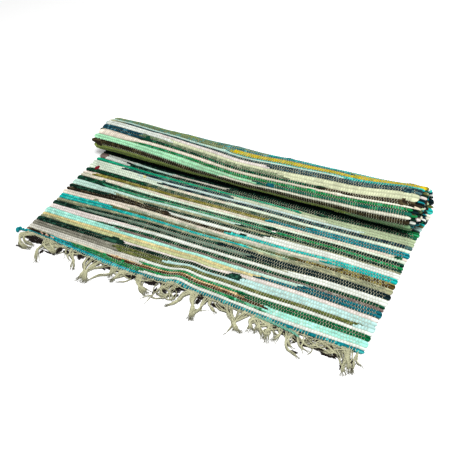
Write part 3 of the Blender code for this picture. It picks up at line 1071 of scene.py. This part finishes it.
def yarnPaths():
    # lists of points for the yarns, and for the fine frayed ends
    rng = random.Random(fringe["seed"])
    yarns, fine = [], []
    low = fringe["yarn"] * 0.75
    for line in bundles.strip().splitlines():
        sizes, course = (readGroups(text) for text in line.split(":"))
        count, rootX, rootWidth, tipWidth = sizes[0]
        turn = rng.choice((-1, 1)) * rng.uniform(2.0, 4.0)
        count = round(fringe["count"] * count)
        for i in range(count):
            place = (i + 0.5) / count - 0.5
            x = (rootX + fringe["rootShare"] * rootWidth * place) / 1000
            root = frontEdge(max(-0.297, min(0.294, x)))
            points = [root + Vector((0, 0.0015, form["thick"] * rng.uniform(0.3, 0.8)))]
            points.append(root + Vector((rng.uniform(-0.001, 0.001), -0.002, rng.uniform(0.0015, 0.0042))))
            before = points[-1]
            phase = rng.uniform(0, math.tau)
            short = rng.uniform(0, 0.35) if len(course) > 2 else 0
            for k, (px, py) in enumerate(course, 1):
                part = k / len(course)
                here = Vector((px, py, 0)) / 1000 + Vector((0, fringe["back"] * min(1, 1.5 * part), 0))
                if k == len(course):
                    here = before.lerp(here, 1 - short)
                heading = (here - before).to_2d().normalized()
                wide = fringe["spread"] * (rootWidth + (tipWidth - rootWidth) * min(1, part * 1.3)) / 1000
                across = wide * place * math.cos(turn * part) + fringe["wave"] * math.sin(phase + 5 * part)
                across += rng.uniform(-fringe["stray"], fringe["stray"])
                point = here + Vector((-heading.y, heading.x, 0)) * across
                lie = 0.5 + 0.5 * math.sin(phase + turn * part)
                point.z = low + fringe["pile"] * (1 - 0.6 * part) * lie
                points.append(point)
                before = here
            points[-1].z = low * rng.uniform(0.8, 1.3)
            path = smoothPath(points, 5)
            if overShadowMat(path) < 3 or rng.random() < fringe["inShadowTuft"]:
                yarns.append(path)
                fine += frayedPaths(rng, path)
    for middleX, middleY, radius, count in readGroups(loops):
        for _ in range(int(count)):
            size = radius / 1000 * rng.uniform(0.75, 1.15)
            start = rng.uniform(0, math.tau)
            turns = [start + part * 0.8 for part in range(8)]
            path = smoothPath([Vector((
                middleX / 1000 + size * math.cos(angle), middleY / 1000 + 0.8 * size * math.sin(angle),
                rng.uniform(low, 0.0052))) for angle in turns], 4)
            if overShadowMat(path) < 6:
                yarns.append(path)
    for lie in (0.0014, 0.0030):  # two yarns run along the edge and hold the tufts
        yarns.append(smoothPath([frontEdge(-0.292 + 0.580 * i / 99) + Vector((
            0, -0.0010 - rng.uniform(0, 0.0018), lie + rng.uniform(0, 0.0012))) for i in range(100)], 2))
    return yarns, fine


def pathsObject(paths, radius, taper):
    # the paths as edges, with each point's radius, which is a path point's fourth number where it has one
    points, edges, radii = [], [], []
    for path in paths:
        start = len(points)
        for i, point in enumerate(path):
            own = point[3] if len(point) > 3 else radius
            place = point.to_3d() + form["shift"]
            place.z = max(place.z, 1.15 * own)  # above the floor
            points.append(place)
            radii.append(own * (min(1, 0.35 + 0.65 * (len(path) - 1 - i) / 3) if taper else 1))
        edges += [(k - 1, k) for k in range(start + 1, len(points))]
    mesh = bpy.data.meshes.new("yarnLines")
    mesh.from_pydata(points, edges, [])
    setValues(mesh.attributes.new("yarnRadius", "FLOAT", "POINT").data, "value", radii)
    return newObject("yarnLines", mesh)


def yarnNodes(add, given):
    # plied yarn along each path: the plies are circles beside the path that turn round it
    curve = add("GeometryNodeMeshToCurve", {0: given["Geometry"]})
    even = add("GeometryNodeResampleCurve", {"Curve": curve, "Length": given["Step"]}, mode="LENGTH")
    radius = pointValue(add, "yarnRadius")
    thick = add("GeometryNodeSetCurveRadius", {"Curve": even, "Radius": radius})
    length = add("GeometryNodeSplineParameter").outputs["Length"]
    angle = calc(add, "MULTIPLY", calc(add, "DIVIDE", length, given["Twist"]), math.tau)
    tilt = add("GeometryNodeSetCurveTilt", {"Curve": thick, "Tilt": angle})
    start = add("ShaderNodeCombineXYZ", {"X": calc(add, "MULTIPLY", given["Offset"], -1)})
    end = add("ShaderNodeCombineXYZ", {"X": given["Offset"]})
    pair = add("GeometryNodeMeshLine", {
        "Count": given["Plies"], "Start Location": start, "Offset": end}, mode="END_POINTS")
    ply = add("GeometryNodeCurvePrimitiveCircle", {"Resolution": given["Sides"], "Radius": 0.62})
    around = add("GeometryNodeInstanceOnPoints", {"Points": pair, "Instance": ply})
    section = add("GeometryNodeRealizeInstances", {0: around})
    return add("GeometryNodeCurveToMesh", {
        "Curve": tilt, "Profile Curve": section, "Fill Caps": True, "Scale": radius})


plied = shapeTree("pliedYarn", {
    "Plies": "Int", "Sides": "Int", "Offset": "Float", "Twist": "Float", "Step": "Float"}, yarnNodes)


def yarnPiece(name, paths, material, step, radius=None, plies=2, sides=4, offset=0.5,
              twist=fringe["twistPitch"], taper=False):
    return bakeTree(pathsObject(paths, radius, taper), plied, {
        "Plies": plies, "Sides": sides, "Offset": offset, "Twist": twist, "Step": step,
        "Material": material}, name)


yarnLines, fineLines = yarnPaths()
yarns = yarnPiece("fringe_yarns", yarnLines, fringeCotton, fringe["step"], fringe["yarn"] / 2, taper=True)
looseEnds = []
for name, course, material in zip(("loose_tail", "loose_strip"), looseRags, (looseRag, fadedRag)):
    ragLine = smoothPath([Vector(point) / 1000 for point in course], 6)
    looseEnds.append(yarnPiece(name, [ragLine], material, 0.0012, sides=8, offset=0.45, twist=0.012))
single = {"plies": 1, "sides": 3, "offset": 0.0, "twist": 1.0}
# the painted shadow under and between the fringe yarns, as dark tufts
shadowTuft = yarnPiece("fringe_shadowTuft", shadowMatPaths(), paintedShadowFibre, fringe["shadowTuftStep"], fringe["shadowTuftThick"], **single)
frayedEnds = yarnPiece("fringe_frayed", fineLines, fringeCotton, fringe["fineStep"], fringe["fineThick"],
                       taper=True, **single)

# ---- what each piece rides on, and the solids it stands in for are hidden

pieces = [face, reverseFace, warpFace, warpRoll, yarns, frayedEnds, shadowTuft, *looseEnds]
for piece in pieces:
    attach(piece, "root")
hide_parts("rug")
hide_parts("fringe")
for piece in pieces[2:]:
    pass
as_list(pieces[1:])


# ---- floor, light and camera

studio = {
    "floorSize": 14, "floorColour": (0.92, 0.92, 0.92, 1), "floorRough": 0.8, "floorShine": 0.1,
    "lampPlace": (0.75, -0.6, 2.2), "lampTarget": (0.05, 0, 0), "lampSize": 1.1, "lampPower": 73,
    "sky": 0.55,
}


def makeFloor():
    bpy.ops.mesh.primitive_plane_add(size=studio["floorSize"], location=(0, 0, 0))
    floor = bpy.context.object
    floor.name = "floor"
    material, _, surface = newMaterial("paleFloor", studio["floorRough"], studio["floorShine"])
    surface["Base Color"].default_value = studio["floorColour"]
    floor.data.materials.append(material)


def makeLight():
    light = bpy.data.lights.new("mainLight", "AREA")
    light.shape = "DISK"
    light.size = studio["lampSize"]
    light.energy = studio["lampPower"]
    lamp = newObject("mainLight", light)
    lamp.location = studio["lampPlace"]
    lamp.rotation_mode = "QUATERNION"
    lamp.rotation_quaternion = (Vector(studio["lampTarget"]) - lamp.location).to_track_quat("-Z", "Y")
    world = bpy.data.worlds.new("studio")
    world.use_nodes = True
    background = world.node_tree.nodes["Background"].inputs
    background["Color"].default_value = (1, 1, 1, 1)
    background["Strength"].default_value = studio["sky"]
    bpy.context.scene.world = world


# The photo's viewpoint, with lengths as shares of the rug's width from the middle of the woven end
viewpoint = {
    "focal": 622.0, "frame": 450,  # in pixels
    "yaw": 34.6, "pitch": 41.7, "roll": -8.0,
    "place": (0.736, -0.788, 1.116),
}


def makeCamera():
    yaw, pitch, roll = (math.radians(viewpoint[key]) for key in ("yaw", "pitch", "roll"))
    ahead, down = math.cos(pitch), math.sin(pitch)
    forward = Vector((-math.sin(yaw) * ahead, math.cos(yaw) * ahead, -down))
    right = Vector((math.cos(yaw), math.sin(yaw), 0))
    up = right.cross(forward)
    turnedRight = math.cos(roll) * right + math.sin(roll) * up
    turnedUp = -math.sin(roll) * right + math.cos(roll) * up
    data = bpy.data.cameras.new("camera")
    data.sensor_width = 36
    data.lens = viewpoint["focal"] / viewpoint["frame"] * data.sensor_width
    camera = newObject("camera", data)
    axes = Matrix((turnedRight, turnedUp, -forward)).transposed().to_4x4()
    place = Vector(viewpoint["place"]) * form["width"] + form["shift"]
    camera.matrix_world = Matrix.Translation(place) @ axes
    bpy.context.scene.camera = camera


makeFloor()
makeLight()
makeCamera()
bpy.context.scene.view_settings.view_transform = "Standard"
bpy.context.scene.cycles.denoising_prefilter = "NONE"  # keeps the fine weave
print("studio done")
